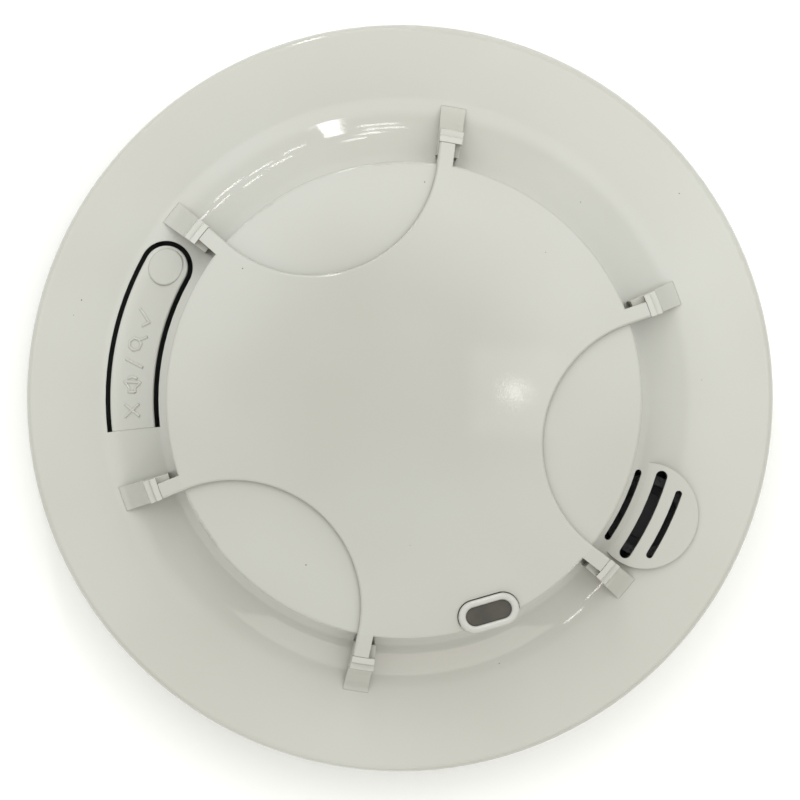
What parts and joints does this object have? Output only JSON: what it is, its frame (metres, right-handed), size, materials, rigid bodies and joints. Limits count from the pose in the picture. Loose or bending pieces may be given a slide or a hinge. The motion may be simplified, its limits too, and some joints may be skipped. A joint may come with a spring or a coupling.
{
  "type": "smoke detector",
  "caption": "Round ceiling smoke detector: domed cap on feet over a ring smoke inlet, hollow skirt and flange, tongue test button, sounder slots, lamp window, bayonet ceiling plate.",
  "frame": {"origin": "centre of the mounting plate's flat back, on the surface that it is screwed to", "axes": "+Z out of the detector's face along its round axis, +Y towards the top of the face, +X to the right of the face as seen from the room"},
  "size_m": [0.12, 0.12, 0.04],
  "materials": {
    "plate_plastic": "fine textured moulding",
    "rear_plastic": "fine textured moulding",
    "cover_plastic": "warm white, polished tool finish",
    "bezel_plastic": "polished tool finish",
    "smoked_plastic": "smoked, translucent",
    "clear_plastic": "clear moulding",
    "cell_wrap": "printed foil wrap without marks",
    "nickel_strip": "nickel plated",
    "spring_steel": "drawn wire, nickel plated",
    "board_laminate": "dark green solder mask over glass laminate",
    "zinc_screws": "zinc plated",
    "chip_epoxy": "transfer moulded epoxy",
    "can_aluminium": "drawn can",
    "ferrite": "sintered ferrite with wound copper",
    "switch_plastic": "glass filled moulding",
    "plunger_plastic": "plain moulding",
    "led_epoxy": "cast epoxy, red",
    "black_plastic": "light-absorbing moulding",
    "sounder_lacquer": "black lacquered brass sheet",
    "foam": "closed-cell foam",
    "mesh_steel": "woven wire",
    "optic_epoxy": "cast epoxy, tinted"
  },
  "bodies": {
    "mount": {"mounting_plate": "plate_plastic"},
    "head": {"rear_housing": "rear_plastic", "battery_cover": "rear_plastic", "battery": "cell_wrap", "plus_contact": "nickel_strip", "minus_contact": "nickel_strip", "contact_spring": "spring_steel", "circuit_board": "board_laminate", "board_screws": "zinc_screws", "controller_chip": "chip_epoxy", "storage_capacitor": "can_aluminium", "boost_coil": "ferrite", "switch_body": "switch_plastic", "indicator_led": "led_epoxy", "light_guide": "clear_plastic", "sounder_case": "black_plastic", "sounder_disc": "sounder_lacquer", "sounder_gasket": "foam", "well_seal": "foam", "chamber_base": "black_plastic", "chamber_lid": "black_plastic", "insect_mesh": "mesh_steel", "ir_emitter": "optic_epoxy", "photodiode": "optic_epoxy", "front_cover": "cover_plastic", "cap_feet": "cover_plastic", "case_screws": "zinc_screws", "lamp_bezel": "bezel_plastic", "lamp_window": "smoked_plastic", "smoke_cap": "cover_plastic"},
    "button": {"test_button": "cover_plastic"},
    "plunger": {"switch_plunger": "plunger_plastic"}
  },
  "joints": [
    {"name": "bayonet_twist", "type": "hinge", "parent": "mount", "child": "head", "pos_m": [0, 0, 0], "axis": [0, 0, 1], "range_deg": [0, 20]},
    {"name": "test_press", "type": "hinge", "parent": "head", "child": "button", "pos_m": [-0.04287, -0.00488, 0.02417], "axis": [-0.9081, -0.1035, -0.4058], "range_deg": [0, 1.4], "stiffness_Nm_per_rad": 2},
    {"name": "plunger_travel", "type": "slide", "parent": "head", "child": "plunger", "axis": [0, 0, -1], "range_m": [0, 0.0006]}
  ],
  "couplings": [
    {"joint": "plunger_travel", "follows": "test_press", "m_per_rad": 0.02301}
  ]
}
